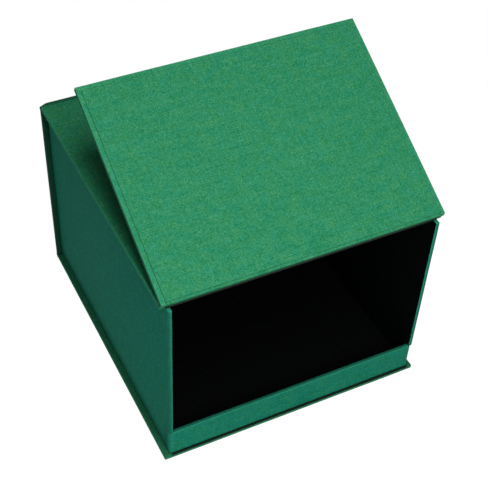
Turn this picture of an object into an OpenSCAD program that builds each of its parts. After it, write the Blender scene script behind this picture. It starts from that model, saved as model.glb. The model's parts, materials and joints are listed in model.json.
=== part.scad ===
// Cloth-covered photo storage box with a hinged lid and a drop-down front flap.
// A board case (base, spine, lid and flap) wraps round a tray with a low front lip.
// Millimetres. +Z is up, -Y is the open front, and the origin is on the table under the middle of the base.
// The flap is drawn as it stands when folded back above the closed lid.

/* [Overall] */
// Width across the base, side to side
box_w = 194; // [130:1:320]
// Depth, from the front edge of the base to the back of the spine
box_d = 214.5; // [140:0.5:340]
// Height, from the table to the top of the lid
box_h = 146; // [90:1:240]

/* [Boards and sheets] */
// Thickness of the bare board in base, spine, lid and flap
case_board_t = 2.5; // [1.8:0.1:4]
// Thickness of the bare board in the tray
tray_board_t = 2; // [1.2:0.1:3.5]
// Thickness of the book cloth
cloth_t = 0.3; // [0.2:0.05:0.5]
// Thickness of the black lining paper
paper_t = 0.25; // [0.15:0.05:0.4]
// Thickness of the stiffened lining panel on the flap
panel_t = 0.4; // [0.3:0.05:0.8]
// Width of the cloth turned in over the edge of a board
turn_in = 15; // [8:1:24]

/* [Tray] */
// How far base, spine and lid stand out past the side walls of the tray
square = 3.5; // [1.5:0.1:8]
// How far the base stands out past the front face of the lip
front_square = 1.6; // [0.6:0.1:6]
// Height of the top edge of the lip above the table
lip_h = 25; // [14:1:60]
// Radius of the two front corners of the tray, up to the top of the lip
tray_corner_r = 3; // [1:0.1:5]
// Strip of cloth left bare above the lining paper, inside the walls and the lip
bare_strip = 3; // [1:0.5:8]

/* [Lid] */
// How far the front edge of the lid lies behind the front edge of the base
lid_setback = 4.8; // [2.5:0.1:9]
// Gap between the lining of the closed lid and the tops of the walls
lid_clear = 0.3; // [0.2:0.1:1]
// Width of the hinge lining glued to each board
hinge_glue_w = 12; // [6:1:20]

/* [Flap] */
// Angle of the folded-back flap above the lid, in degrees
flap_tilt = 27.3; // [24:0.1:60]
// Gap between the closed flap and the front edge of the base
flap_clear = 0.3; // [0.2:0.1:1]
// Height of the closed flap's free edge above the table
flap_foot = 0.5; // [0.2:0.1:3]
// How far the closed flap's hinged edge lies below the top of the lid
flap_head = 0.3; // [0:0.1:1]
// How far the flap's hinge line lies in front of the base
hinge_out = 0.44; // [0.2:0.02:1.2]
// How far the flap's hinge line lies above the top of the lid
hinge_rise = 1.95; // [1.6:0.05:3]
// Border of turned-in cloth left bare round the flap's lining panel
flap_border = 3.5; // [1.5:0.1:8]
// Strip of hinge lining left bare along the hinged edge of the panel
near_border = 1.8; // [0.8:0.1:6]

/* [Hidden] */
$fn = 64;

// A cut reaches this far past the face that it opens
over = 1;

// Planes of the case
half_w = box_w / 2;
front_y = -box_d / 2;
back_y = box_d / 2;
case_t = case_board_t + 2 * cloth_t;

// The two back joints turn a corner with the radius of one board
joint_r = case_board_t;
lid_back = back_y - joint_r;
lid_front = front_y + lid_setback;
lid_under = box_h - case_t;

// Planes of the tray, which stands on the base and against the spine
tray_x = half_w - square;
inner_x = tray_x - cloth_t - tray_board_t;
tray_front = front_y + front_square;
lip_in_y = tray_front + cloth_t + tray_board_t;
tray_back = back_y - case_t;
back_in_y = tray_back - tray_board_t;
tray_z = case_t;
tray_top = lid_under - cloth_t - lid_clear;
floor_z = tray_z + tray_board_t;
lined_z = floor_z + paper_t;
lip_fold_z = max(lip_h - cloth_t - turn_in, lined_z);

// The flap's own frame lies on its hinge line: +Y runs out along the flap, +Z out of its inner face
flap_l = box_h - flap_foot - flap_head;
flap_near = hinge_rise + flap_head;
flap_inner = hinge_out - flap_clear;
flap_outer = flap_inner - case_t;
hinge_y = front_y - hinge_out;
hinge_z = box_h + hinge_rise;

// A point of the flap's frame, as [y, z] of the box
function flap_point(y, z) = [
  hinge_y + y * cos(flap_tilt) - z * sin(flap_tilt),
  hinge_z + y * sin(flap_tilt) + z * cos(flap_tilt)
];

// The joint cloth leaves the lid forwards, folds back under the flap's edge and joins the flap
lid_end = [lid_front - cloth_t / 2, box_h - cloth_t / 2];
flap_end = flap_point(flap_near - cloth_t / 2, flap_outer + cloth_t / 2);
fold_point = [flap_end[0] - cloth_t, min(lid_end[1], flap_end[1] - cloth_t)];

// The hinge lining follows the joint cloth on its front side, one thickness away
lining_start = [lid_front - cloth_t / 2, box_h - 1.5 * cloth_t];
lining_turn = [fold_point[0], fold_point[1] - cloth_t];
lining_nose = [fold_point[0] - cloth_t, fold_point[1]];
lining_end = flap_point(flap_near - cloth_t / 2, flap_outer + 1.5 * cloth_t);

green = [0.12, 0.47, 0.33];
dark_green = [0.1, 0.38, 0.3];
panel_green = [0.19, 0.54, 0.36];
board_grey = [0.55, 0.52, 0.46];
paper_black = [0.03, 0.03, 0.03];

// A block between two limits on each axis
module slab(x, y, z) {
  translate([x[0], y[0], z[0]])
    cube([x[1] - x[0], y[1] - y[0], z[1] - z[0]]);
}

// A profile drawn in the Y-Z plane, run across the box between two X limits
module across(x) {
  translate([x[0], 0, 0])
    rotate([90, 0, 90])
      linear_extrude(x[1] - x[0])
        children();
}

// A strip of one cloth thickness between two points of a profile
module cloth_leg(a, b) {
  hull() {
    translate(a)
      circle(d = cloth_t, $fn = 16);
    translate(b)
      circle(d = cloth_t, $fn = 16);
  }
}

// A bare case board, outer face down, with open (unwrapped) ends named false
module case_board(length, near, far) {
  y_near = near ? cloth_t : 0;
  y_far = length - (far ? cloth_t : 0);
  slab([cloth_t - half_w, half_w - cloth_t], [y_near, y_far], [cloth_t, case_t - cloth_t]);
}

// The cloth round a case board: outer face, wrapped edges and turn-ins
module case_cloth(length, near, far) {
  open_near = near ? cloth_t : -over;
  open_far = length + (far ? -cloth_t : over);
  window_near = near ? cloth_t + turn_in : -over;
  window_far = length + (far ? -cloth_t - turn_in : over);
  window_x = half_w - cloth_t - turn_in;
  difference() {
    slab([-half_w, half_w], [0, length], [0, case_t]);
    slab([cloth_t - half_w, half_w - cloth_t], [open_near, open_far], [cloth_t, case_t - cloth_t]);
    slab([-window_x, window_x], [window_near, window_far], [cloth_t, case_t + over]);
  }
}

// Where each case board lies
module at_base() {
  translate([0, front_y, 0])
    children();
}

module at_spine() {
  translate([0, back_y, tray_z])
    rotate([90, 0, 0])
      children();
}

module at_lid() {
  translate([0, lid_back, box_h])
    rotate([180, 0, 0])
      children();
}

module in_flap_frame() {
  translate([0, hinge_y, hinge_z])
    rotate([flap_tilt, 0, 0])
      children();
}

module at_flap() {
  in_flap_frame()
    translate([0, flap_near, flap_outer])
      children();
}

module base_board() {
  color(board_grey)
    at_base()
      case_board(lid_back - front_y, true, false);
}

module base_cloth() {
  color(green)
    at_base()
      case_cloth(lid_back - front_y, true, false);
}

module spine_board() {
  color(board_grey)
    at_spine()
      case_board(tray_top - tray_z, false, false);
}

module spine_cloth() {
  color(green)
    at_spine()
      case_cloth(tray_top - tray_z, false, false);
}

module lid_board() {
  color(board_grey)
    at_lid()
      case_board(lid_back - lid_front, false, false);
}

module lid_cloth() {
  color(green)
    at_lid()
      case_cloth(lid_back - lid_front, false, false);
}

module flap_board() {
  color(board_grey)
    at_flap()
      case_board(flap_l, false, true);
}

module flap_cloth() {
  color(green)
    at_flap()
      case_cloth(flap_l, false, true);
}

// A quarter turn of cloth round the upper back corner, centred on the origin of its profile
module corner_turn() {
  intersection() {
    difference() {
      circle(r = joint_r);
      circle(r = joint_r - cloth_t);
    }
    square(joint_r);
  }
}

// The outer cloth across the joint of base and spine
module base_joint_cloth() {
  color(green)
    across([-half_w, half_w]) {
      translate([lid_back, joint_r])
        mirror([0, 1])
          corner_turn();
      translate([back_y - cloth_t, joint_r])
        square([cloth_t, tray_z - joint_r]);
    }
}

// The outer cloth across the lid's hinge, drawn with the lid closed
module back_hinge_cloth() {
  color(green)
    across([-half_w, half_w]) {
      translate([lid_back, box_h - joint_r])
        corner_turn();
      translate([back_y - cloth_t, tray_top])
        square([cloth_t, box_h - joint_r - tray_top]);
    }
}

// The strip that lines the lid's hinge inside, glued to the back wall and under the lid
module back_hinge_lining() {
  lining_x = inner_x - cloth_t - paper_t;
  color(paper_black)
    across([-lining_x, lining_x]) {
      translate([back_in_y - paper_t, tray_top - hinge_glue_w])
        square([paper_t, lid_under - tray_top + hinge_glue_w]);
      translate([back_in_y - hinge_glue_w, lid_under - paper_t])
        square([hinge_glue_w, paper_t]);
    }
}

// The plan of the tray, drawn in by an inset, with round front corners
module tray_plan(inset, corner_r) {
  x = tray_x - inset;
  y = tray_front + inset;
  translate([-x, y + corner_r])
    square([2 * x, tray_back - y - corner_r]);
  translate([corner_r - x, y])
    square([2 * (x - corner_r), 2 * corner_r]);
  for (side = [-1, 1])
    translate([side * (x - corner_r), y + corner_r])
      circle(r = corner_r);
}

// The outer shape of the tray: round front corners up to the lip's top, sharp ones above it
module tray_body(inset) {
  translate([0, 0, tray_z])
    linear_extrude(lip_h - tray_z)
      tray_plan(inset, tray_corner_r - inset);
  slab([inset - tray_x, tray_x - inset], [tray_front + inset, tray_back], [lip_h, tray_top - inset]);
}

module tray_floor() {
  color(board_grey)
    slab([-inner_x, inner_x], [lip_in_y, back_in_y], [tray_z, floor_z]);
}

module back_wall() {
  color(board_grey)
    slab([-inner_x, inner_x], [back_in_y, tray_back], [tray_z, tray_top]);
}

// The bare board of the right-hand wall
module side_board() {
  intersection() {
    tray_body(cloth_t);
    slab([inner_x, tray_x], [tray_front, tray_back], [tray_z, tray_top]);
  }
}

module right_wall() {
  color(board_grey)
    side_board();
}

module left_wall() {
  color(board_grey)
    mirror([1, 0, 0])
      side_board();
}

module front_lip() {
  color(board_grey)
    intersection() {
      tray_body(cloth_t);
      slab([-inner_x, inner_x], [tray_front, lip_in_y], [tray_z, lip_h - cloth_t]);
    }
}

// The cloth on the right-hand wall: outside, over the front and top edges, and turned in
module side_cloth() {
  fold_x = [inner_x - cloth_t - over, inner_x];
  difference() {
    intersection() {
      tray_body(0);
      slab([inner_x - cloth_t, tray_x], [tray_front, tray_back], [tray_z, tray_top]);
    }
    side_board();
    slab(fold_x, [tray_front - over, tray_back + over], [tray_z - over, lip_h]);
    slab(fold_x, [tray_front + cloth_t + turn_in, tray_back + over], [tray_z, tray_top - cloth_t - turn_in]);
    slab(fold_x, [back_in_y, tray_back + over], [tray_z, tray_top + over]);
  }
}

// The cloth on the lip: outside, over the top edge, and turned in
module lip_cloth() {
  difference() {
    intersection() {
      tray_body(0);
      slab([-inner_x, inner_x], [tray_front, lip_in_y + cloth_t], [tray_z, lip_h]);
    }
    front_lip();
    slab([-inner_x - over, inner_x + over], [lip_in_y, lip_in_y + cloth_t + over], [tray_z - over, lip_fold_z]);
  }
}

// One strip of cloth runs round the left wall, the lip and the right wall
module tray_cloth() {
  color(dark_green)
    union() {
      side_cloth();
      mirror([1, 0, 0])
        side_cloth();
      lip_cloth();
    }
}

module floor_lining() {
  color(paper_black)
    slab([-inner_x, inner_x], [lip_in_y, back_in_y], [floor_z, lined_z]);
}

// The paper on the right-hand wall, over the turned-in cloth
module side_lining() {
  x = inner_x - cloth_t;
  y = [lip_in_y + cloth_t + paper_t, back_in_y - paper_t];
  slab([x - paper_t, x], y, [lined_z, tray_top - bare_strip]);
}

module right_lining() {
  color(paper_black)
    side_lining();
}

module left_lining() {
  color(paper_black)
    mirror([1, 0, 0])
      side_lining();
}

module back_lining() {
  x = inner_x - cloth_t;
  color(paper_black)
    slab([-x, x], [back_in_y - paper_t, back_in_y], [lined_z, tray_top - hinge_glue_w]);
}

module lip_lining() {
  x = inner_x - cloth_t;
  y = lip_in_y + cloth_t;
  color(paper_black)
    slab([-x, x], [y, y + paper_t], [lined_z, lip_h - bare_strip]);
}

// The paper under the lid, between the two hinge linings
module lid_lining() {
  color(paper_black)
    slab(
      [-tray_x, tray_x],
      [lid_front + hinge_glue_w, back_in_y - hinge_glue_w],
      [lid_under - paper_t, lid_under]
    );
}

// The stiffened cloth panel on the flap's inner face, inside its border
module flap_lining() {
  panel_x = half_w - flap_border;
  color(panel_green)
    in_flap_frame()
      slab(
        [-panel_x, panel_x],
        [flap_near + near_border, flap_near + flap_l - flap_border],
        [flap_inner, flap_inner + panel_t]
      );
}

// The outer cloth across the flap's hinge, as a profile
module joint_fold() {
  cloth_leg(lid_end, fold_point);
  cloth_leg(fold_point, flap_end);
}

module flap_hinge_cloth() {
  color(green)
    across([-half_w, half_w])
      joint_fold();
}

// The outline of the flap with its cloth, as a profile from its near edge
module flap_section() {
  translate([hinge_y, hinge_z])
    rotate(flap_tilt)
      translate([flap_near, flap_outer])
        square([flap_l, case_t]);
}

// The cloth strip that lines the flap's hinge: over the flap's edge, along the joint and under the lid
module flap_hinge_lining() {
  color(panel_green)
    across([-tray_x, tray_x])
      difference() {
        union() {
          translate([lid_front, lid_under - cloth_t])
            square([hinge_glue_w, cloth_t]);
          translate([lid_front - cloth_t, lid_under - cloth_t])
            square([cloth_t, case_t]);
          cloth_leg(lining_start, lining_turn);
          cloth_leg(lining_turn, lining_nose);
          cloth_leg(lining_nose, lining_end);
          translate([hinge_y, hinge_z])
            rotate(flap_tilt) {
              translate([flap_near - cloth_t, flap_outer + cloth_t])
                square([cloth_t, case_t]);
              translate([flap_near - cloth_t, flap_inner])
                square([cloth_t + near_border, cloth_t]);
            }
        }
        joint_fold();
        flap_section();
      }
}

base_board();
spine_board();
base_cloth();
spine_cloth();
base_joint_cloth();
tray_floor();
left_wall();
right_wall();
back_wall();
front_lip();
tray_cloth();
floor_lining();
left_lining();
right_lining();
back_lining();
lip_lining();
lid_board();
lid_cloth();
lid_lining();
back_hinge_cloth();
back_hinge_lining();
flap_hinge_cloth();
flap_hinge_lining();
flap_board();
flap_cloth();
flap_lining();
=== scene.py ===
"""The looks of a cloth-covered photo storage box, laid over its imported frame.

Lengths are metres in the frame's own axes: +Z up, -Y towards the open front.
Book cloth is wrapped round the boards as a skin with rounded edges and turned-in borders.
"""

import json
import math

import bmesh
import bpy
from bpy.props import FloatProperty, FloatVectorProperty, PointerProperty
from mathutils import Matrix, Vector, noise


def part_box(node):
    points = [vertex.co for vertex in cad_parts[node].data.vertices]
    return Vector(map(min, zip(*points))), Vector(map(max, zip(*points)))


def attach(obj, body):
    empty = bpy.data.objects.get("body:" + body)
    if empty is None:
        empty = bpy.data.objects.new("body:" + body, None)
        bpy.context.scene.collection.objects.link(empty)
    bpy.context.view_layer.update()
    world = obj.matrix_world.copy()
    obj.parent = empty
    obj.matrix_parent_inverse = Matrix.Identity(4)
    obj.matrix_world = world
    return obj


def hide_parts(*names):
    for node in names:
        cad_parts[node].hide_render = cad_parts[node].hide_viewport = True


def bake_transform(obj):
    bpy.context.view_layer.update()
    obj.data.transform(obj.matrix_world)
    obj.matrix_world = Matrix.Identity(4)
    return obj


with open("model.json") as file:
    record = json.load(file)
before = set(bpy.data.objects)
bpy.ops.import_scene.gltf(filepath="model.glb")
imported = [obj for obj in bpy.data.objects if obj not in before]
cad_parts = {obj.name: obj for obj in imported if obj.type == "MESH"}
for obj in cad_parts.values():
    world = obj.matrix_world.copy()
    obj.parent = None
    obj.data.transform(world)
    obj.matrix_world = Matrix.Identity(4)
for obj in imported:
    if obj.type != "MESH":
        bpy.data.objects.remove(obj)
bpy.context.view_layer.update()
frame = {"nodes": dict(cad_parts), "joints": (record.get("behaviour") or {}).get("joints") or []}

bl_info = {
    "name": "Photo storage box",
    "version": (1, 0, 0),
    "blender": (4, 5, 0),
    "location": "3D View > Sidebar > Photo box",
    "description": "Dresses the photo storage box in book cloth, lining paper and board",
    "category": "Object",
}

MM = 0.001
UP = Vector((0, 0, 1))
X_AXIS = Vector((1, 0, 0))
Y_AXIS = Vector((0, 1, 0))

# The planes of the box, read from the frame
BASE_LOW, BASE_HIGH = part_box("base_cloth")
SPINE_LOW, SPINE_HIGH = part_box("spine_cloth")
LID_LOW, LID_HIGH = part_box("lid_cloth")
TRAY_LOW, TRAY_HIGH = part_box("tray_cloth")
WALL_LOW, WALL_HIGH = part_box("right_wall")
LIP_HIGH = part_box("front_lip")[1]
BACK_WALL_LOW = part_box("back_wall")[0]
BACK_LINING_LOW, BACK_LINING_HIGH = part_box("back_hinge_lining")

HALF_WIDTH = BASE_HIGH.x
BASE_LENGTH = BASE_HIGH.y - BASE_LOW.y
SPINE_LENGTH = SPINE_HIGH.z - SPINE_LOW.z
LID_LENGTH = LID_HIGH.y - LID_LOW.y
CASE_THICK = BASE_HIGH.z - BASE_LOW.z
CLOTH = TRAY_HIGH.x - WALL_HIGH.x
LIP_TOP = LIP_HIGH.z + CLOTH
JOINT_RADIUS = SPINE_HIGH.y - LID_HIGH.y

# The inner face of the walls' cloth, and how far back the lip's cloth goes round its two corners
WALL_INNER = WALL_LOW.x - CLOTH
CORNER_BACK = TRAY_LOW.y + 8 * MM

# Lengths that differ by less than this are equal
TOUCH = 0.01 * MM

# For the depth of creases, a point this near a face of the CAD lies on it
NEAR = 0.2 * MM

# A face looks along an axis when its normal reaches further than this along it
FACING = 0.9

# Glued cloth is cut into cells, so that it can lie unevenly, and once more this far inside a rounded edge
CELL = 9 * MM
EDGE_MARGIN = 0.35 * MM

# In the photo the tray is glued a little to the right of the base's middle
TRAY_SHIFT = 0.7 * MM
TRAY_PLACE = Matrix.Translation((TRAY_SHIFT, 0, 0))

# Where each case board lies: its outer face is down and its length runs along +Y in its own frame
BASE_PLACE = Matrix.Translation((0, BASE_LOW.y, 0))
SPINE_PLACE = Matrix.Translation((0, SPINE_HIGH.y, SPINE_LOW.z)) @ Matrix.Rotation(math.radians(90), 4, "X")
LID_PLACE = Matrix.Translation((0, LID_HIGH.y, LID_HIGH.z)) @ Matrix.Rotation(math.radians(180), 4, "X")


def joint_point(name):
    """A point on the axis of one of the frame's joints."""
    return Vector(next(joint["pos_m"] for joint in frame["joints"] if joint["name"] == name))


def flap_frame():
    """The flap's own frame on its hinge line: +Y runs out along the flap, +Z out of its inner face."""
    faces = frame["nodes"]["flap_lining"].data.polygons
    widest = max(faces, key=lambda face: face.area)
    normal = widest.normal if widest.normal.z > 0 else -widest.normal
    tilt = math.atan2(-normal.y, normal.z)
    return Matrix.Translation(joint_point("flap_hinge")) @ Matrix.Rotation(tilt, 4, "X")


def box_in(node, place):
    """Lowest and highest corner of a CAD node, measured in a frame of its own."""
    inverse = place.inverted()
    points = [inverse @ vertex.co for vertex in frame["nodes"][node].data.vertices]
    low = Vector([min(point[axis] for point in points) for axis in range(3)])
    high = Vector([max(point[axis] for point in points) for axis in range(3)])
    return low, high


FLAP_FRAME = flap_frame()
FLAP_LOW, FLAP_HIGH = box_in("flap_cloth", FLAP_FRAME)
PANEL_LOW, PANEL_HIGH = box_in("flap_lining", FLAP_FRAME)
FLAP_LENGTH = FLAP_HIGH.y - FLAP_LOW.y
FLAP_PLACE = FLAP_FRAME @ Matrix.Translation((0, FLAP_LOW.y, FLAP_LOW.z))


def srgb(code):
    """A colour written as sRGB hex, as linear red, green and blue."""
    values = [int(code[i:i + 2], 16) / 255 for i in (0, 2, 4)]
    return [v / 12.92 if v <= 0.04045 else ((v + 0.055) / 1.055) ** 2.4 for v in values]


def colour_property(name, description, code):
    """A colour that the user can pick, with its default as sRGB hex."""
    return FloatVectorProperty(
        name=name, description=description, default=srgb(code), subtype="COLOR", size=3, min=0, max=1
    )


def length_property(name, description, millimetres, low, high):
    """A small length that the user can set, with its default and limits in millimetres."""
    return FloatProperty(
        name=name, description=description, default=millimetres * MM, min=low * MM, max=high * MM,
        unit="LENGTH", precision=5
    )


def power_property(name, description, watts):
    """The power of a lamp, which the user can set."""
    return FloatProperty(name=name, description=description, default=watts, min=0, unit="POWER")


class ClothSettings(bpy.types.PropertyGroup):
    """Sizes and colours of the book cloth."""

    pitch: length_property("Thread spacing", "Distance between threads of the weave", 0.75, 0.3, 1.5)
    edge_radius: length_property("Edge radius", "Rounding of the cloth over a board's edge", 0.6, 0.35, 1.2)
    corner_radius: length_property("Corner radius", "Rounding of a board's corners, seen flat", 0.7, 0.6, 4)
    turn_in: length_property("Turn-in", "Width of the cloth turned over a board's edge", 15, 8, 24)
    wander: length_property("Unevenness", "How far the glued cloth wanders from flat", 0.07, 0, 0.3)
    outer: colour_property("Outer cloth", "Colour of base, spine, lid and flap", "2A8E61")
    inner: colour_property("Flap panel", "Colour of the panel on the flap's inner face", "298A5D")
    tray: colour_property("Tray cloth", "Colour of the walls and the lip", "1C8E6E")


class LiningSettings(bpy.types.PropertyGroup):
    """Colours of what lines the box and of its bare board."""

    paper: colour_property("Lining paper", "Colour of the paper inside the tray and the lid", "040505")
    strip: colour_property("Hinge lining", "Colour of the cloth strip inside the lid's hinge", "050606")
    board: colour_property("Board", "Colour of the bare grey board", "8C8679")


class StageSettings(bpy.types.PropertyGroup):
    """Floor and light."""

    floor: colour_property("Floor", "Colour of the table top", "F2F2F0")
    key: power_property("Key light", "Power of the main lamp", 4.1)
    fill: power_property("Fill light", "Power of the low lamp", 0.7)
    above: power_property("Overhead light", "Power of the lamp above", 3.25)
    sky: FloatProperty(name="Sky", description="Strength of the even light all round", default=0.08, min=0)


def add_node(tree, kind, inputs=(), **settings):
    """Adds a shader node with its settings, and sets or links its inputs."""
    node = tree.nodes.new("ShaderNode" + kind)
    for name, value in settings.items():
        setattr(node, name, value)
    for socket, value in dict(inputs).items():
        if isinstance(value, bpy.types.NodeSocket):
            tree.links.new(value, node.inputs[socket])
        else:
            node.inputs[socket].default_value = value
    return node


def calculate(tree, operation, *values, **settings):
    """The result of a Math node."""
    return add_node(tree, "Math", dict(enumerate(values)), operation=operation, **settings).outputs[0]


def mix(tree, share, first, second):
    """A value between two values."""
    return add_node(tree, "Mix", {0: share, 2: first, 3: second}, data_type="FLOAT").outputs[0]


def mix_colours(tree, share, first, second, **settings):
    """A colour between two colours."""
    return add_node(tree, "Mix", {0: share, 6: first, 7: second}, data_type="RGBA", **settings).outputs[2]


def map_range(tree, value, from_low=0.0, from_high=1.0, to_low=0.0, to_high=1.0):
    """A value carried from one range to another."""
    return add_node(tree, "MapRange", {0: value, 1: from_low, 2: from_high, 3: to_low, 4: to_high}).outputs[0]


def soft_noise(tree, place, scale, detail, **settings):
    """Noise that lies round 0.5, with its scale in waves per unit of the place."""
    inputs = {"Vector": place, "Scale": scale, "Detail": detail}
    return add_node(tree, "TexNoise", inputs, **settings).outputs[0]


def new_material(name, colour):
    """An empty node material, with its plain colour for the viewport."""
    material = bpy.data.materials.new(name)
    material.use_nodes = True
    material.node_tree.nodes.clear()
    material.diffuse_color = (*colour, 1)
    return material


def tinted(colour, red, green, blue):
    """A colour with each channel scaled, with its alpha."""
    return (min(colour[0] * red, 1), min(colour[1] * green, 1), min(colour[2] * blue, 1), 1)


def thread_dashes(tree, thread_number, length_along, rate):
    """How light each thread is along its length: smooth along a thread, unlike from thread to thread.

    The rate is the number of changes in one thread spacing.
    """
    threads_apart = 5.37
    apart = calculate(tree, "MULTIPLY", thread_number, threads_apart)
    run = calculate(tree, "MULTIPLY", length_along, rate)
    place = add_node(tree, "CombineXYZ", {"X": apart, "Y": run}).outputs[0]
    return soft_noise(tree, place, 1.0, 1.0, noise_dimensions="2D")


def dye(tree, colour, count, pitch, tone):
    """Soft patches of dye over the tone: dark dashes lean to teal and light ones to yellow."""
    patch_size = 5 * MM / pitch
    stretched = add_node(tree, "VectorMath", {0: count, 1: (0.6, 1, 1)}, operation="MULTIPLY").outputs[0]
    patch = soft_noise(tree, stretched, 1 / patch_size, 2.0, noise_dimensions="2D")
    patched = mix(tree, 0.1, tone, patch)
    ramp = add_node(tree, "ValToRGB", {0: patched})
    ramp.color_ramp.elements[0].position = 0.28
    ramp.color_ramp.elements[0].color = tinted(colour, 0.05, 0.68, 0.5)
    ramp.color_ramp.elements[1].position = 0.72
    ramp.color_ramp.elements[1].color = tinted(colour, 3.0, 1.36, 1.6)
    middle = ramp.color_ramp.elements.new(0.5)
    middle.color = tinted(colour, 1, 1, 1)

    # The hue leans from patch to patch too
    teal, yellow = (0.8, 0.99, 1.08, 1), (1.2, 1.01, 0.92, 1)
    hue_patch = soft_noise(tree, stretched, 0.9 / patch_size, 1.0, noise_dimensions="2D")
    hue = mix_colours(tree, map_range(tree, hue_patch, 0.3, 0.7), teal, yellow)
    return mix_colours(tree, 1.0, ramp.outputs[0], hue, blend_type="MULTIPLY")


def wear_with_painted_light(tree, colour, dyed, dash):
    """The cloth's colour: rubbed pale over an edge, partly real wear and partly a painted highlight, and
    darkened by painted shade in the narrow steps between the boards.
    """
    edge = add_node(tree, "Attribute", attribute_name="edge").outputs["Fac"]
    # Rounded edges turn pale: partly real wear, partly a painted highlight where light catches the edge
    share = calculate(tree, "MULTIPLY", edge, map_range(tree, dash, 0.35, 0.65, to_low=0.3, to_high=0.8))
    pale = (colour[0] + 0.02, colour[1] + 0.06, colour[2] + 0.06, 1)
    worn_and_highlit = mix_colours(tree, share, dyed, pale)
    # Painted shade: the colour is drawn towards near black where a vertex lies deep in a step
    painted_shade = add_node(tree, "Attribute", attribute_name="painted_shade").outputs["Fac"]
    return mix_colours(tree, painted_shade, worn_and_highlit, tinted(colour, 0.03, 0.03, 0.03))


def thread_back(tree, place):
    """The round back of each thread, from 0 beside it to 1 on its crest."""
    wave = calculate(tree, "SINE", calculate(tree, "MULTIPLY", place, math.pi))
    return calculate(tree, "ABSOLUTE", wave)


def book_cloth(name, colour, pitch, gloss):
    """Book cloth: plain-woven rayon on a paper back, dull, with every thread a slightly different green.

    The weave follows the UV map, which is in metres along and across the threads.
    Real threads lie about 0.4 mm apart; they are drawn coarser, so that they show.
    """
    material = new_material(name, colour)
    tree = material.node_tree
    flat = add_node(tree, "UVMap", uv_map="cloth").outputs["UV"]
    count = add_node(tree, "VectorMath", {0: flat, 1: (1 / pitch,) * 3}, operation="MULTIPLY").outputs[0]
    place = add_node(tree, "SeparateXYZ", {0: count})
    across, along = place.outputs["X"], place.outputs["Y"]

    # Which thread lies on top: warp and weft take turns
    warp_number = calculate(tree, "FLOOR", across)
    weft_number = calculate(tree, "FLOOR", along)
    weft_up = calculate(tree, "FLOORED_MODULO", calculate(tree, "ADD", warp_number, weft_number), 2.0)

    # Each thread takes the dye in dashes, a few crossings long, and in slow changes along its run
    warp_dash = thread_dashes(tree, warp_number, along, rate=0.45)
    weft_dash = thread_dashes(tree, weft_number, across, rate=0.4)
    dash = mix(tree, weft_up, warp_dash, weft_dash)
    warp_run = thread_dashes(tree, warp_number, along, rate=0.04)
    weft_run = thread_dashes(tree, weft_number, across, rate=0.03)
    run = mix(tree, weft_up, warp_run, weft_run)
    tone = mix(tree, 0.3, dash, run)
    dyed = dye(tree, colour, count, pitch, tone)

    backs = mix(tree, weft_up, thread_back(tree, across), thread_back(tree, along))
    relief = calculate(tree, "MULTIPLY", backs, tone)
    bump = add_node(tree, "Bump", {"Strength": 0.5, "Distance": 0.12 * MM, "Height": relief}).outputs[0]
    # The base colour carries a painted highlight on rounded edges and painted shade in the steps between the
    # boards
    cloth = add_node(tree, "BsdfPrincipled", {
        "Base Color": wear_with_painted_light(tree, colour, dyed, weft_dash),
        "Roughness": map_range(tree, backs, to_low=0.92, to_high=0.78),
        "Normal": bump,
        "Specular IOR Level": gloss,
    })
    add_node(tree, "OutputMaterial", {"Surface": cloth.outputs[0]})
    return material


def lining_paper(name, colour):
    """Uncoated black paper: pulp fibres make it dull and very slightly cloudy."""
    material = new_material(name, colour)
    tree = material.node_tree
    where = add_node(tree, "TexCoord").outputs["Object"]
    fibres_per_metre = 1 / (0.8 * MM)
    clouds_per_metre = 1 / (12 * MM)
    fibre = soft_noise(tree, where, fibres_per_metre, 4.0)
    cloud = soft_noise(tree, where, clouds_per_metre, 2.0)
    tone = mix(tree, 0.5, fibre, cloud)
    ramp = add_node(tree, "ValToRGB", {0: tone})
    ramp.color_ramp.elements[0].color = tinted(colour, 0.6, 0.6, 0.6)
    ramp.color_ramp.elements[1].color = tinted(colour, 1.6, 1.6, 1.6)
    bump = add_node(tree, "Bump", {"Strength": 0.3, "Distance": 0.05 * MM, "Height": fibre}).outputs[0]
    paper = add_node(tree, "BsdfPrincipled", {
        "Base Color": ramp.outputs[0], "Roughness": 0.9, "Normal": bump, "Specular IOR Level": 0.05,
    })
    add_node(tree, "OutputMaterial", {"Surface": paper.outputs[0]})
    return material


def grey_board(name, colour):
    """Grey board: pressed waste paper, with pale and dark fibres in its face."""
    material = new_material(name, colour)
    tree = material.node_tree
    where = add_node(tree, "TexCoord").outputs["Object"]
    fibres_per_metre = 1 / (1.5 * MM)
    fibre = add_node(tree, "TexNoise", {"Vector": where, "Scale": fibres_per_metre, "Detail": 5.0,
                                        "Roughness": 0.7}).outputs[0]
    ramp = add_node(tree, "ValToRGB", {0: fibre})
    ramp.color_ramp.elements[0].position = 0.35
    ramp.color_ramp.elements[0].color = tinted(colour, 0.6, 0.58, 0.55)
    ramp.color_ramp.elements[1].position = 0.7
    ramp.color_ramp.elements[1].color = tinted(colour, 1.25, 1.25, 1.2)
    bump = add_node(tree, "Bump", {"Strength": 0.4, "Distance": 0.1 * MM, "Height": fibre}).outputs[0]
    board = add_node(tree, "BsdfPrincipled", {
        "Base Color": ramp.outputs[0], "Roughness": 0.9, "Normal": bump,
    })
    add_node(tree, "OutputMaterial", {"Surface": board.outputs[0]})
    return material


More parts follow.
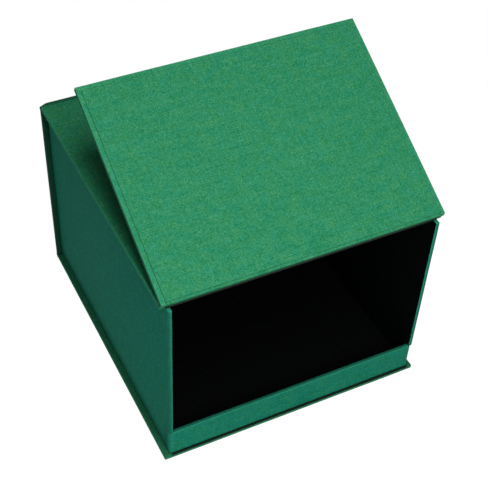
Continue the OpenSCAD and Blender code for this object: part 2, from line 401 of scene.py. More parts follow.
def white_table(name, colour):
    """A table top that looks nearly white, keeps a faint shadow and throws little light on the box."""
    glow = 1.09
    glow_share = 0.9
    thrown_back = 0.25
    material = new_material(name, colour)
    tree = material.node_tree
    white = add_node(tree, "Emission", {"Color": (1, 1, 1, 1), "Strength": glow}).outputs[0]
    rays = add_node(tree, "LightPath").outputs
    direct = calculate(tree, "ADD", rays["Is Camera Ray"], rays["Is Glossy Ray"])
    seen = calculate(tree, "ADD", direct, rays["Is Transmission Ray"], use_clamp=True)
    lit_colour = tinted(colour, thrown_back, thrown_back, thrown_back)
    shown_colour = mix_colours(tree, seen, lit_colour, (*colour, 1))
    paper = add_node(tree, "BsdfDiffuse", {"Color": shown_colour}).outputs[0]
    share = calculate(tree, "MULTIPLY", seen, glow_share)
    shown = add_node(tree, "MixShader", {0: share, 1: paper, 2: white}).outputs[0]
    add_node(tree, "OutputMaterial", {"Surface": shown})
    return material


def bevel(bm, edges, radius, segments):
    """Rounds some edges of a bmesh."""
    bmesh.ops.bevel(
        bm, geom=edges, offset=radius, offset_type="OFFSET", affect="EDGES", segments=segments, profile=0.5,
        material=-1, clamp_overlap=True
    )


def cut(bm, axis, places):
    """Cuts a bmesh across one axis at each place."""
    for place in places:
        geometry = bm.verts[:] + bm.edges[:] + bm.faces[:]
        bmesh.ops.bisect_plane(bm, geom=geometry, dist=1e-7, plane_co=axis * place, plane_no=axis)


def steps(low, high, size, margin):
    """Even steps between two places, with one extra just inside each end."""
    count = max(1, round((high - low) / size))
    inside = [low + (high - low) * i / count for i in range(1, count)]
    return [low + margin, *inside, high - margin]


def same(*lengths):
    """Whether all these lengths are equal."""
    return max(lengths) - min(lengths) < TOUCH


def edges_where(bm, fits):
    """The edges whose two ends fit a test."""
    return [edge for edge in bm.edges if fits(edge.verts[0].co, edge.verts[1].co)]


def remove_faces(bm, unwanted):
    """Takes away the faces that a test picks by their middle and their normal."""
    picked = [face for face in bm.faces if unwanted(face.calc_center_median(), face.normal)]
    bmesh.ops.delete(bm, geom=picked, context="FACES")


def prism(outline, along):
    """A closed bmesh: a flat outline, drawn out along a vector."""
    bm = bmesh.new()
    face = bm.faces.new([bm.verts.new(point) for point in outline])
    made = bmesh.ops.extrude_face_region(bm, geom=[face])
    moved = [item for item in made["geom"] if isinstance(item, bmesh.types.BMVert)]
    bmesh.ops.translate(bm, vec=along, verts=moved)
    bmesh.ops.recalc_face_normals(bm, faces=bm.faces)
    return bm


def mark_edges(bm):
    """Notes on each vertex how much of an edge it is: 1 on rounded edges, 0 on flat faces."""
    flat = 0.985
    layer = bm.verts.layers.float.new("edge")
    for vertex in bm.verts:
        rounded = any(max(abs(n) for n in face.normal) < flat for face in vertex.link_faces)
        vertex[layer] = 1.0 if rounded else 0.0


def lay_weave(bm, shift=0.0):
    """Lays the cloth's UV map in metres, wrapped over the edges, with its weave shifted a little."""
    layer = bm.loops.layers.uv.new("cloth")
    for face in bm.faces:
        x, y, z = (abs(n) for n in face.normal)
        for loop in face.loops:
            point = loop.vert.co
            if z >= max(x, y):
                loop[layer].uv = (point.x, point.y + shift)
            elif y >= x:
                loop[layer].uv = (point.x, point.z + shift)
            else:
                loop[layer].uv = (point.z, point.y + shift)


def wander(bm, amount):
    """Moves each vertex a little along its normal, as glued cloth lies."""
    spacing = 30 * MM

    # The noise is 0 on whole numbers, so its origin lies away from the box's own
    origin = Vector((3.1, 7.7, 1.3))
    bm.normal_update()
    for vertex in bm.verts:
        vertex.co += vertex.normal * amount * noise.noise(vertex.co / spacing + origin)


def finish_piece(name, bm, place, material, body, smooth=True):
    """Turns a bmesh into a piece that lies in place and rides on a body, if one is named."""
    bmesh.ops.transform(bm, matrix=place, verts=bm.verts)
    mesh = bpy.data.meshes.new(name)
    for face in bm.faces:
        face.smooth = smooth
    bm.to_mesh(mesh)
    bm.free()
    piece = bpy.data.objects.new(name, mesh)
    bpy.context.scene.collection.objects.link(piece)
    mesh.materials.append(material)
    if body:
        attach(piece, body)
    return piece


def mark_painted_shade(piece, depth_at):
    """Notes on each vertex, for the cloth's shader, how deep it lies in a narrow step, as the depth of
    painted shade: 0 open, 1 deepest.
    """
    layer = piece.data.attributes.new("painted_shade", "FLOAT", "POINT")
    for vertex in piece.data.vertices:
        layer.data[vertex.index].value = depth_at(vertex.co)


def from_tray(point):
    """How far a point lies outside the tray's side, or inside it if the result is negative."""
    return abs(point.x - TRAY_SHIFT) - TRAY_HIGH.x


def base_painted_shade(point):
    """Painted shade on the base: its step in front of the lip is the deepest, then the one beside the walls.
    """
    rounding = 0.65 * MM
    corner = 1.5 * MM
    foot = 0.3 * MM
    if point.z > BASE_HIGH.z - rounding and point.y < TRAY_LOW.y + TOUCH:
        return 1 if from_tray(point) < -corner else 0.5
    if point.z > BASE_HIGH.z - NEAR and from_tray(point) > -TOUCH:
        return 0.75 if from_tray(point) < foot else 0.55
    return 0


def spine_painted_shade(point):
    """Painted shade on the spine's step beside the walls, and on its sides."""
    if abs(point.x) > HALF_WIDTH - NEAR:
        return 0.75
    return 0.8 if point.y < SPINE_LOW.y + NEAR and from_tray(point) > -TOUCH else 0


def flap_painted_shade(point):
    """Painted shade along the seam round the flap's panel, and on the flap's sides."""
    place = FLAP_FRAME.inverted() @ point
    if abs(place.x) > HALF_WIDTH - NEAR:
        return 0.4
    inner = place.z > FLAP_HIGH.z - NEAR
    under_panel = abs(place.x) < PANEL_HIGH.x + TOUCH and place.y < PANEL_HIGH.y + TOUCH
    return 0.6 if inner and under_panel else 0


def tray_painted_shade(point):
    """Painted shade on the top of the lip, where the lid shades it, and on the outer side of the walls' front
    edges.
    """
    outer_side = 1.1 * MM
    if abs(point.z - LIP_TOP) < NEAR / 2:
        return 0.45
    on_front = point.z > LIP_TOP + 0.5 * MM and point.y < TRAY_LOW.y + NEAR
    return 0.5 if on_front and from_tray(point) > -outer_side else 0


def joint_painted_shade(point):
    """Painted shade on the strip inside the flap's joint, where it goes round the lid's front edge."""
    return 0.95 if point.z < LID_HIGH.z - NEAR / 2 and point.y < LID_LOW.y else 0


def give_thickness(piece, thickness, offset, even=True):
    """Gives a skin its thickness: offset -1 inwards, 0 to both sides. Cloth that folds flat can't be even."""
    solidify = piece.modifiers.new("Thickness", "SOLIDIFY")
    solidify.thickness = thickness
    solidify.offset = offset
    solidify.use_even_offset = even


def board_block(width, length, thick, closed_near, closed_far, corner_radius, edge_radius):
    """A board with rounded edges, its outer face down, whose joint ends stay square."""
    bm = bmesh.new()
    bmesh.ops.create_cube(bm, size=1)
    bmesh.ops.scale(bm, vec=(width, length, thick), verts=bm.verts)
    bmesh.ops.translate(bm, vec=(0, length / 2, thick / 2), verts=bm.verts)
    closed_ends = [end for end, closed in ((0, closed_near), (length, closed_far)) if closed]
    open_ends = [end for end, closed in ((0, closed_near), (length, closed_far)) if not closed]

    def is_corner(a, b):
        return same(a.x, b.x) and any(same(a.y, b.y, end) for end in closed_ends)

    def is_rim(a, b):
        return same(a.z, b.z) and not any(same(a.y, b.y, end) for end in open_ends)

    if closed_ends:
        bevel(bm, edges_where(bm, is_corner), corner_radius, segments=6)
    bevel(bm, edges_where(bm, is_rim), edge_radius, segments=4)
    return bm


def open_joint_ends(bm, length, closed_near, closed_far):
    """Takes away the faces of a wrap where a board meets a joint, except past the ends of the strips."""
    both_ends = ((0, -1, closed_near), (length, 1, closed_far))
    ends = [(end, side) for end, side, closed in both_ends if not closed]
    half_strip = TRAY_HIGH.x - TRAY_SHIFT

    def at_joint(middle, normal):
        at_end = any(same(middle.y, end) and normal.y * side > FACING for end, side in ends)
        return at_end and abs(middle.x) < half_strip

    remove_faces(bm, at_joint)


def cloth_wrap(name, place, length, closed_near, closed_far, body, seams_x, seam_y):
    """The cloth round a case board: outer face, edges and turned-in borders, cut where its painted shade
    changes.
    """
    cloth = bpy.context.scene.box_cloth
    bm = board_block(2 * HALF_WIDTH, length, CASE_THICK, closed_near, closed_far,
                     cloth.corner_radius, cloth.edge_radius)
    margin = cloth.edge_radius + EDGE_MARGIN
    window_x = HALF_WIDTH - cloth.turn_in
    window_near = cloth.turn_in if closed_near else -MM
    window_far = length - cloth.turn_in if closed_far else length + MM
    cut(bm, X_AXIS, [-window_x, window_x, *steps(-HALF_WIDTH, HALF_WIDTH, CELL, margin)])

    # The painted shade's depth changes over one gap outside its seam and over three inside it
    gap = 0.6 * MM
    left, right = seams_x
    cut(bm, X_AXIS, [left - gap, left, right, right + gap, left + 3 * gap, right - 3 * gap])
    cut(bm, Y_AXIS, [seam_y, seam_y + gap])
    below_rounding = 0.15 * MM
    cut(bm, UP, [CASE_THICK - cloth.edge_radius - below_rounding])
    cut(bm, Y_AXIS, [window_near, window_far, *steps(0, length, CELL, margin)])
    bm.normal_update()
    open_joint_ends(bm, length, closed_near, closed_far)

    def in_window(middle, normal):
        inside = abs(middle.x) < window_x and window_near < middle.y < window_far
        return inside and normal.z > FACING and middle.z > CASE_THICK / 2

    remove_faces(bm, in_window)
    mark_edges(bm)
    lay_weave(bm)
    wander(bm, cloth.wander)
    piece = finish_piece(name, bm, place, outer_cloth(), body)
    give_thickness(piece, CLOTH, -1)
    return piece


def ribbon(name, path, half_width, thickness, material, body, place=Matrix.Identity(4)):
    """A strip of cloth that follows a path across the Y-Z plane and runs the width of the box."""
    bm = bmesh.new()
    measure = bm.verts.layers.float.new("length")
    weave = bm.loops.layers.uv.new("cloth")
    row = [bm.verts.new((-half_width, y, z)) for y, z in path]
    lengths = [0.0]
    for a, b in zip(path, path[1:]):
        lengths.append(lengths[-1] + math.dist(a, b))
    for vertex, length in zip(row, lengths):
        vertex[measure] = length
    edges = [bm.edges.new(pair) for pair in zip(row, row[1:])]
    made = bmesh.ops.extrude_edge_only(bm, edges=edges)
    moved = [item for item in made["geom"] if isinstance(item, bmesh.types.BMVert)]
    bmesh.ops.translate(bm, vec=(2 * half_width, 0, 0), verts=moved)
    cut(bm, X_AXIS, steps(-half_width, half_width, CELL, MM))

    # Closer cuts at both ends, for the curve of slack cloth
    insets = (0.5 * MM, 1.8 * MM, 2.8 * MM, 4.2 * MM, 6 * MM)
    cut(bm, X_AXIS, [side * (half_width - inset) for side in (-1, 1) for inset in insets])
    for face in bm.faces:
        for loop in face.loops:
            loop[weave].uv = (loop.vert.co.x, loop.vert[measure])
    piece = finish_piece(name, bm, place, material, body)
    give_thickness(piece, thickness, 0, even=False)
    return piece


def arc(centre, radius, start, end, count):
    """Points of a circular arc in the Y-Z plane, with its angles in degrees from +Y towards +Z."""
    angles = [math.radians(start + (end - start) * i / count) for i in range(count + 1)]
    return [(centre[0] + radius * math.cos(a), centre[1] + radius * math.sin(a)) for a in angles]


def flap_point(y, z):
    """A point of the flap's own frame, as (y, z) of the box."""
    point = FLAP_FRAME @ Vector((0, y, z))
    return point.y, point.z


def outer_cloth():
    """The material of base, spine, lid and flap."""
    return bpy.data.materials["Book cloth, outer"]


class PHOTOBOX_OT_materials(bpy.types.Operator):
    """Make the cloths, the lining paper and the grey board"""

    bl_idname = "photobox.materials"
    bl_label = "Cloths, paper and board"

    def execute(self, context):
        cloth = context.scene.box_cloth
        lining = context.scene.box_lining
        book_cloth("Book cloth, outer", tuple(cloth.outer), cloth.pitch, gloss=0.25)
        book_cloth("Book cloth, flap panel", tuple(cloth.inner), cloth.pitch, gloss=0.25)
        book_cloth("Book cloth, tray", tuple(cloth.tray), cloth.pitch, gloss=0.14)
        book_cloth("Book cloth, black", tuple(lining.strip), cloth.pitch, gloss=0.05)
        lining_paper("Lining paper", tuple(lining.paper))
        grey_board("Grey board", tuple(lining.board))
        return {"FINISHED"}


def tray_copy(node, material):
    """A copy of one of the tray's plain CAD pieces, where the tray stands in the photo."""
    bm = bmesh.new()
    bm.from_mesh(frame["nodes"][node].data)
    piece = finish_piece(node + "_piece", bm, TRAY_PLACE, material, "case", smooth=False)
    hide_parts(node)


class PHOTOBOX_OT_boards(bpy.types.Operator):
    """Make the case boards, with corners knocked down to fit the cloth, and finish the tray's boards"""

    bl_idname = "photobox.boards"
    bl_label = "Grey boards"

    def execute(self, context):
        cloth = context.scene.box_cloth
        board = bpy.data.materials["Grey board"]
        width = 2 * (HALF_WIDTH - CLOTH)
        thick = CASE_THICK - 2 * CLOTH
        lift = Matrix.Translation((0, CLOTH, CLOTH))
        boards = (
            ("base_core", "base_board", BASE_PLACE, BASE_LENGTH, True, False, "case"),
            ("spine_core", "spine_board", SPINE_PLACE, SPINE_LENGTH, False, False, "case"),
            ("lid_core", "lid_board", LID_PLACE, LID_LENGTH, False, False, "lid"),
            ("flap_core", "flap_board", FLAP_PLACE, FLAP_LENGTH, True, True, "flap"),
        )
        for name, node, place, length, near, far, body in boards:
            bm = board_block(width, length - 2 * CLOTH, thick, near, far, cloth.corner_radius - CLOTH / 2,
                             cloth.edge_radius - CLOTH / 2)
            piece = finish_piece(name, bm, place @ lift, board, body)
            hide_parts(node)
        for node in ("tray_floor", "left_wall", "right_wall", "back_wall", "front_lip"):
            tray_copy(node, board)
        return {"FINISHED"}


class PHOTOBOX_OT_case_covers(bpy.types.Operator):
    """Wrap the base, the spine and the lid in book cloth"""

    bl_idname = "photobox.case_covers"
    bl_label = "Cloth of base, spine and lid"

    def execute(self, context):
        covers = (
            ("base_wrap", "base_cloth", BASE_PLACE, BASE_LENGTH, True, "case", base_painted_shade),
            ("spine_wrap", "spine_cloth", SPINE_PLACE, SPINE_LENGTH, False, "case", spine_painted_shade),
            ("lid_wrap", "lid_cloth", LID_PLACE, LID_LENGTH, False, "lid", None),
        )
        front_step = TRAY_LOW.y - BASE_LOW.y
        seams = (TRAY_SHIFT - TRAY_HIGH.x, TRAY_SHIFT + TRAY_HIGH.x)
        for name, node, place, length, near, body, painted_shade in covers:
            piece = cloth_wrap(name, place, length, near, False, body, seams, front_step)
            # Painted shade in the narrow steps beside the tray
            if painted_shade:
                mark_painted_shade(piece, painted_shade)
            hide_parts(node)
        return {"FINISHED"}


class PHOTOBOX_OT_flap_cover(bpy.types.Operator):
    """Wrap the flap in book cloth, with its turned-in border"""

    bl_idname = "photobox.flap_cover"
    bl_label = "Cloth of the flap"

    def execute(self, context):
        seams = (PANEL_LOW.x, PANEL_HIGH.x)
        seam_y = PANEL_HIGH.y - FLAP_LOW.y
        piece = cloth_wrap("flap_wrap", FLAP_PLACE, FLAP_LENGTH, True, True, "flap", seams, seam_y)
        mark_painted_shade(piece, flap_painted_shade)
        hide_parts("flap_cloth")
        return {"FINISHED"}


class PHOTOBOX_OT_flap_panel(bpy.types.Operator):
    """Lay the stiffened cloth panel inside the flap's border"""

    bl_idname = "photobox.flap_panel"
    bl_label = "Panel of the flap"

    def execute(self, context):
        cloth = context.scene.box_cloth
        corner_radius = 0.6 * MM
        edge_radius = 0.12 * MM
        margin = 0.7 * MM
        bm = bmesh.new()
        bmesh.ops.create_cube(bm, size=1)
        bmesh.ops.scale(bm, vec=PANEL_HIGH - PANEL_LOW, verts=bm.verts)
        bmesh.ops.translate(bm, vec=(PANEL_LOW + PANEL_HIGH) / 2, verts=bm.verts)
        corners = edges_where(bm, lambda a, b: same(a.x, b.x) and same(a.y, b.y))
        bevel(bm, corners, corner_radius, segments=3)
        rim = edges_where(bm, lambda a, b: same(a.z, b.z, PANEL_HIGH.z))
        bevel(bm, rim, edge_radius, segments=3)
        cut(bm, X_AXIS, steps(PANEL_LOW.x, PANEL_HIGH.x, CELL, margin))
        cut(bm, Y_AXIS, steps(PANEL_LOW.y, PANEL_HIGH.y, CELL, margin))
        bm.normal_update()
        mark_edges(bm)
        lay_weave(bm, shift=0.2 * MM)
        wander(bm, cloth.wander / 2)
        material = bpy.data.materials["Book cloth, flap panel"]
        piece = finish_piece("flap_panel", bm, FLAP_FRAME, material, "flap")
        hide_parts("flap_lining")
        return {"FINISHED"}


def open_tray_ends(bm, back):
    """Takes away the underside of the tray's cloth, and its face at the back."""
    bm.normal_update()

    def at_end(middle, normal):
        return normal.z < -FACING or (same(middle.y, back) and normal.y > FACING)

    remove_faces(bm, at_end)


def wall_cover():
    """The cloth on the right-hand wall above and behind the lip's corner, as a bmesh."""
    cloth = bpy.context.scene.box_cloth
    profile = (
        (TRAY_LOW.y, LIP_TOP), (TRAY_LOW.y, TRAY_HIGH.z), (TRAY_HIGH.y, TRAY_HIGH.z),
        (TRAY_HIGH.y, TRAY_LOW.z), (CORNER_BACK, TRAY_LOW.z), (CORNER_BACK, LIP_TOP),
    )
    bm = prism([(WALL_INNER, y, z) for y, z in profile], along=(TRAY_HIGH.x - WALL_INNER, 0, 0))

    def is_rim(a, b):
        front = same(a.y, b.y, TRAY_LOW.y) and not same(a.z, b.z, LIP_TOP)
        top = same(a.z, b.z, TRAY_HIGH.z) and not same(a.y, b.y, TRAY_HIGH.y)
        return front or top

    bevel(bm, edges_where(bm, is_rim), cloth.edge_radius, segments=4)
    open_tray_ends(bm, TRAY_HIGH.y)
    window_y = TRAY_LOW.y + cloth.turn_in
    window_z = TRAY_HIGH.z - cloth.turn_in
    margin = cloth.edge_radius + EDGE_MARGIN
    cut(bm, Y_AXIS, [window_y, *steps(TRAY_LOW.y, TRAY_HIGH.y, CELL, margin)])
    cut(bm, UP, [window_z, *steps(LIP_TOP, TRAY_HIGH.z, CELL, margin)])
    bm.normal_update()

    def in_window(middle, normal):
        return normal.x < -FACING and middle.y > window_y and middle.z < window_z

    remove_faces(bm, in_window)
    return bm


def lip_cover():
    """The cloth on the lip and round its two corners, as a bmesh."""
    cloth = bpy.context.scene.box_cloth
    inner_y = LIP_HIGH.y + CLOTH
    corner_radius = 3 * MM
    plan = (
        (-TRAY_HIGH.x, TRAY_LOW.y), (TRAY_HIGH.x, TRAY_LOW.y), (TRAY_HIGH.x, CORNER_BACK),
        (WALL_INNER, CORNER_BACK), (WALL_INNER, inner_y), (-WALL_INNER, inner_y),
        (-WALL_INNER, CORNER_BACK), (-TRAY_HIGH.x, CORNER_BACK),
    )
    bm = prism([(x, y, TRAY_LOW.z) for x, y in plan], along=(0, 0, LIP_TOP - TRAY_LOW.z))
    corners = edges_where(bm, lambda a, b: same(a.x, b.x) and same(a.y, b.y, TRAY_LOW.y))
    bevel(bm, corners, corner_radius, segments=8)

    def is_rim(a, b):
        in_front = max(a.y, b.y) < TRAY_LOW.y + corner_radius + TOUCH
        return same(a.z, b.z, LIP_TOP) and (in_front or same(a.y, b.y, inner_y))

    bevel(bm, edges_where(bm, is_rim), cloth.edge_radius, segments=4)
    open_tray_ends(bm, CORNER_BACK)
    margin = cloth.edge_radius + EDGE_MARGIN
    cut(bm, X_AXIS, steps(-WALL_INNER, WALL_INNER, CELL, margin))
    cut(bm, UP, steps(TRAY_LOW.z, LIP_TOP, 6 * MM, margin))
    return bm


class PHOTOBOX_OT_tray_cover(bpy.types.Operator):
    """Wrap the tray's walls and lip in one strip of cloth"""

    bl_idname = "photobox.tray_cover"
    bl_label = "Cloth of the tray"

    def execute(self, context):
        cloth = context.scene.box_cloth
        bm = lip_cover()
        for mirrored in (False, True):
            side = wall_cover()
            if mirrored:
                bmesh.ops.scale(side, vec=(-1, 1, 1), verts=side.verts)
                bmesh.ops.reverse_faces(side, faces=side.faces)
            part = bpy.data.meshes.new("part")
            side.to_mesh(part)
            side.free()
            bm.from_mesh(part)
            bpy.data.meshes.remove(part)
        bm.normal_update()
        mark_edges(bm)
        lay_weave(bm, shift=0.1 * MM)
        wander(bm, cloth.wander)
        material = bpy.data.materials["Book cloth, tray"]
        piece = finish_piece("tray_wrap", bm, TRAY_PLACE, material, "case")
        mark_painted_shade(piece, tray_painted_shade)
        give_thickness(piece, CLOTH, -1)
        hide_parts("tray_cloth")
        return {"FINISHED"}


class PHOTOBOX_OT_linings(bpy.types.Operator):
    """Finish the black papers inside the tray and the lid"""

    bl_idname = "photobox.linings"
    bl_label = "Lining papers"

    def execute(self, context):
        paper = bpy.data.materials["Lining paper"]
        for node in ("floor_lining", "back_lining", "lip_lining"):
            tray_copy(node, paper)
        mesh = frame["nodes"]["lid_lining"].data
        mesh.materials.clear()
        mesh.materials.append(paper)
        for name, node in (("left_paper", "left_lining"), ("right_paper", "right_lining")):
            piece = self.side_paper(name, node, paper)
            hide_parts(node)
        return {"FINISHED"}

    def side_paper(self, name, node, paper):
        """The paper on a side wall, which reaches forward over the lip almost to the wall's front edge."""
        low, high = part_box(node)
        front = TRAY_LOW.y + 0.25 * MM
        top = TRAY_HIGH.z - 0.4 * MM
        over_lip = LIP_TOP + 0.2 * MM
        profile = (
            (front, over_lip), (front, top), (high.y, top), (high.y, low.z), (low.y, low.z),
            (low.y, over_lip),
        )
        bm = prism([(low.x, y, z) for y, z in profile], along=(high.x - low.x, 0, 0))
        return finish_piece(name, bm, TRAY_PLACE, paper, "case", smooth=False)


class PHOTOBOX_OT_back_joints(bpy.types.Operator):
    """Lay the cloth over the two back joints, and the strip that lines the lid's hinge"""

    bl_idname = "photobox.back_joints"
    bl_label = "Cloth of the back joints"

    def execute(self, context):
        back = SPINE_HIGH.y
        radius = JOINT_RADIUS
        skin = radius - CLOTH / 2
        lower = (back - radius, radius)
        path = arc(lower, skin, 270, 360, count=10)
        path.append((back - CLOTH / 2, SPINE_LOW.z))
        piece = ribbon("base_joint_strip", path, HALF_WIDTH, CLOTH, outer_cloth(), "case")
        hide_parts("base_joint_cloth")

        upper = (back - radius, LID_HIGH.z - radius)
        path = [(back - CLOTH / 2, SPINE_HIGH.z), *arc(upper, skin, 0, 90, count=14)]
        piece = ribbon("lid_joint_strip", path, HALF_WIDTH, CLOTH, outer_cloth(), None)
        self.swell(piece, radius)
        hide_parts("back_hinge_cloth")
        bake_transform(piece)

        # Up the back wall, over its top into the joint, and back under the lid, with small bends
        axis = joint_point("lid_hinge")
        thick = 0.2 * MM
        wall_y = BACK_WALL_LOW.y - thick
        wall_top = SPINE_HIGH.z + thick / 2
        under = LID_LOW.z - 0.6 * thick
        path = [
            (wall_y, BACK_LINING_LOW.z), (wall_y, wall_top - 0.4 * MM), (wall_y + 0.15 * MM, wall_top),
            (axis.y - 0.9 * MM, wall_top), (axis.y - 0.05 * MM, axis.z - 1.6 * MM),
            (back - radius + 0.15 * MM, under + 0.3 * MM), (back - radius - 0.2 * MM, under),
            (BACK_LINING_LOW.y, under),
        ]
        black = bpy.data.materials["Book cloth, black"]
        half_width = BACK_LINING_HIGH.x
        piece = ribbon("lid_joint_lining", path, half_width, thick, black, None, TRAY_PLACE)
        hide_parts("back_hinge_lining")
        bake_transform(piece)
        return {"FINISHED"}

    def swell(self, piece, radius):
        """Lets the slack cloth of the lid's joint stand out, except at its pinched ends, and paints shade
        along its middle.
        """
        slack = 2.3 * MM
        pinched = 6 * MM
        backward, upward = 0.85, 0.55
        # Painted shade, deepest along the middle of the bulge
        painted_shade = piece.data.attributes.new("painted_shade", "FLOAT", "POINT")
        for vertex in piece.data.vertices:
            from_end = min(1, (HALF_WIDTH - abs(vertex.co.x)) / pinched)
            up = min(1, (vertex.co.z - SPINE_HIGH.z) / radius)
            out = slack * math.sin(from_end * math.pi / 2) * math.sin(math.pi * up)
            vertex.co.y += backward * out
            vertex.co.z += upward * out
            painted_shade.data[vertex.index].value = 0.6 * math.sin(math.pi * min(1, up * 0.8))


class PHOTOBOX_OT_flap_joint(bpy.types.Operator):
    """Lay the cloth across the flap's hinge, and the strip that lines it"""

    bl_idname = "photobox.flap_joint"
    bl_label = "Cloth of the flap's joint"

    def execute(self, context):
        half = CLOTH / 2
        near = FLAP_LOW.y
        lid_front = LID_LOW.y

        # Outside: from the lid's upper edge straight to the flap's outer edge
        on_lid = LID_HIGH.z - half / 2
        on_flap = FLAP_LOW.z + half / 2
        overlap = 1.2 * MM
        path = [
            (lid_front + MM, on_lid), (lid_front, on_lid),
            flap_point(near, on_flap), flap_point(near + overlap, on_flap),
        ]
        piece = ribbon("flap_joint_strip", path, HALF_WIDTH, CLOTH, outer_cloth(), None)
        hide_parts("flap_hinge_cloth")
        self.follow(piece)

        # Inside: over the flap's near edge, across the joint, and round the lid's front edge
        turn = 0.5 * MM
        glued = 12 * MM
        centre = (near + turn - half, FLAP_HIGH.z + half - turn)
        over_edge = [flap_point(y, z) for y, z in arc(centre, turn, 90, 180, count=6)]
        path = [
            flap_point(PANEL_LOW.y, FLAP_HIGH.z + half), *over_edge,
            flap_point(near - half, FLAP_LOW.z + CLOTH),
            (lid_front - half, LID_HIGH.z - CLOTH), (lid_front - half, LID_LOW.z - 0.2 * MM),
            (lid_front + 0.2 * MM, LID_LOW.z - half), (lid_front + glued, LID_LOW.z - half),
        ]
        material = bpy.data.materials["Book cloth, flap panel"]
        piece = ribbon("flap_joint_lining", path, TRAY_HIGH.x, CLOTH, material, None)
        mark_painted_shade(piece, joint_painted_shade)
        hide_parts("flap_hinge_lining")
        self.follow(piece)
        return {"FINISHED"}

    def follow(self, piece):
        """Bakes the strip's placement into its mesh."""
        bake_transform(piece)


def camera_matrix(target, azimuth, elevation, roll, distance):
    """Where a camera stands that looks at a point from an angle, and how it is turned."""
    a, e, r = (math.radians(angle) for angle in (azimuth, elevation, roll))
    back = Vector((math.sin(a) * math.cos(e), -math.cos(a) * math.cos(e), math.sin(e)))
    level = UP.cross(back).normalized()
    rise = back.cross(level)
    right = level * math.cos(r) + rise * math.sin(r)
    up = rise * math.cos(r) - level * math.sin(r)
    turn = Matrix((right, up, back)).transposed().to_4x4()
    return Matrix.Translation(target + back * distance) @ turn


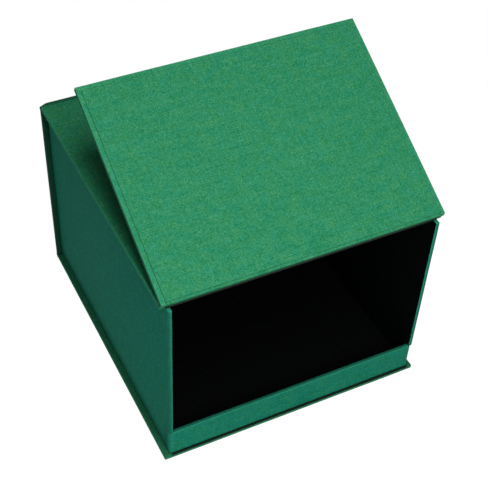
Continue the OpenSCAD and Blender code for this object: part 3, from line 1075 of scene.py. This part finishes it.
class PHOTOBOX_OT_stage(bpy.types.Operator):
    """Set up the pale table, the soft light and the camera"""

    bl_idname = "photobox.stage"
    bl_label = "Table, light and camera"

    def execute(self, context):
        stage = context.scene.box_stage
        self.make_floor(stage)
        self.make_sky(context.scene, stage)
        white = (1, 1, 1)
        cool = (0.3, 0.8, 1)
        self.make_lamp("Key", Vector((-0.05, -0.8, 0.7)), size=0.3, power=stage.key, colour=white)
        self.make_lamp("Overhead", Vector((-0.06, -0.35, 0.88)), size=0.42, power=stage.above, colour=white)
        self.make_lamp("Fill", Vector((-0.62, -0.34, 0.14)), size=0.3, power=stage.fill, colour=cool)
        self.make_camera(context.scene)
        context.scene.view_settings.view_transform = "Standard"
        return {"FINISHED"}

    def make_floor(self, stage):
        """A wide table top, which the export leaves out."""
        reach = 6
        below_box = 0.05 * MM
        bm = bmesh.new()
        bmesh.ops.create_grid(bm, x_segments=1, y_segments=1, size=reach)
        bmesh.ops.translate(bm, vec=(0, 0, -below_box), verts=bm.verts)
        mesh = bpy.data.meshes.new("table_top")
        bm.to_mesh(mesh)
        bm.free()
        floor = bpy.data.objects.new("table_top", mesh)
        bpy.context.scene.collection.objects.link(floor)
        mesh.materials.append(white_table("White table", tuple(stage.floor)))

    def make_sky(self, scene, stage):
        """Even light all round, in a room that the camera sees as white."""
        world = bpy.data.worlds.new("White room")
        world.use_nodes = True
        tree = world.node_tree
        tree.nodes.clear()
        rays = add_node(tree, "LightPath").outputs
        seen = calculate(tree, "ADD", rays["Is Camera Ray"], rays["Is Transmission Ray"], use_clamp=True)
        sky = add_node(tree, "Background", {"Color": (1, 1, 1, 1), "Strength": stage.sky}).outputs[0]
        white = add_node(tree, "Background", {"Color": (1, 1, 1, 1), "Strength": 1.0}).outputs[0]
        both = add_node(tree, "MixShader", {0: seen, 1: sky, 2: white}).outputs[0]
        add_node(tree, "OutputWorld", {"Surface": both})
        scene.world = world

    def make_lamp(self, name, place, size, power, colour):
        """A square soft lamp that points at the middle of the box."""
        lamp = bpy.data.lights.new(name, "AREA")
        lamp.size = size
        lamp.energy = power
        lamp.color = colour
        middle = Vector((0, 0, 70 * MM))
        lit = bpy.data.objects.new(name, lamp)
        lit.location = place
        lit.rotation_euler = (place - middle).to_track_quat("Z", "Y").to_euler()
        bpy.context.scene.collection.objects.link(lit)

    def make_camera(self, scene):
        """The camera stands where the photograph was taken from."""
        camera = bpy.data.cameras.new("Camera")
        camera.sensor_width = 36
        camera.lens = 79.27
        camera.shift_x = 0.0592
        camera.shift_y = 0.0673
        camera.clip_start = 0.01
        view = bpy.data.objects.new("Camera", camera)
        target = Vector((-19.89, -19.60, 61.26)) * MM
        view.matrix_world = camera_matrix(
            target, azimuth=-26.72, elevation=45.45, roll=1.79, distance=0.75248
        )
        scene.collection.objects.link(view)
        scene.camera = view


class PHOTOBOX_PT_panel(bpy.types.Panel):
    """The sidebar panel with the box's settings and steps"""

    bl_idname = "PHOTOBOX_PT_panel"
    bl_label = "Photo storage box"
    bl_space_type = "VIEW_3D"
    bl_region_type = "UI"
    bl_category = "Photo box"

    def draw(self, context):
        layout = self.layout
        for settings in (context.scene.box_cloth, context.scene.box_lining, context.scene.box_stage):
            for name in settings.__annotations__:
                layout.prop(settings, name)
        for step in STEPS:
            layout.operator(step.bl_idname)


SETTINGS = (ClothSettings, LiningSettings, StageSettings)
STEPS = (
    PHOTOBOX_OT_materials, PHOTOBOX_OT_boards, PHOTOBOX_OT_case_covers, PHOTOBOX_OT_flap_cover,
    PHOTOBOX_OT_flap_panel, PHOTOBOX_OT_tray_cover, PHOTOBOX_OT_linings, PHOTOBOX_OT_back_joints,
    PHOTOBOX_OT_flap_joint, PHOTOBOX_OT_stage,
)


def register():
    """Adds the settings, the steps and the panel to Blender."""
    for kind in (*SETTINGS, *STEPS, PHOTOBOX_PT_panel):
        bpy.utils.register_class(kind)
    bpy.types.Scene.box_cloth = PointerProperty(type=ClothSettings)
    bpy.types.Scene.box_lining = PointerProperty(type=LiningSettings)
    bpy.types.Scene.box_stage = PointerProperty(type=StageSettings)


def unregister():
    """Takes them out again, in the opposite order."""
    del bpy.types.Scene.box_stage
    del bpy.types.Scene.box_lining
    del bpy.types.Scene.box_cloth
    for kind in reversed((*SETTINGS, *STEPS, PHOTOBOX_PT_panel)):
        bpy.utils.unregister_class(kind)


def main():
    """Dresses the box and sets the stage."""
    register()
    bpy.ops.photobox.materials()
    bpy.ops.photobox.boards()
    bpy.ops.photobox.case_covers()
    bpy.ops.photobox.flap_cover()
    bpy.ops.photobox.flap_panel()
    bpy.ops.photobox.tray_cover()
    bpy.ops.photobox.linings()
    bpy.ops.photobox.back_joints()
    bpy.ops.photobox.flap_joint()
    bpy.ops.photobox.stage()


if __name__ == "__main__":
    main()
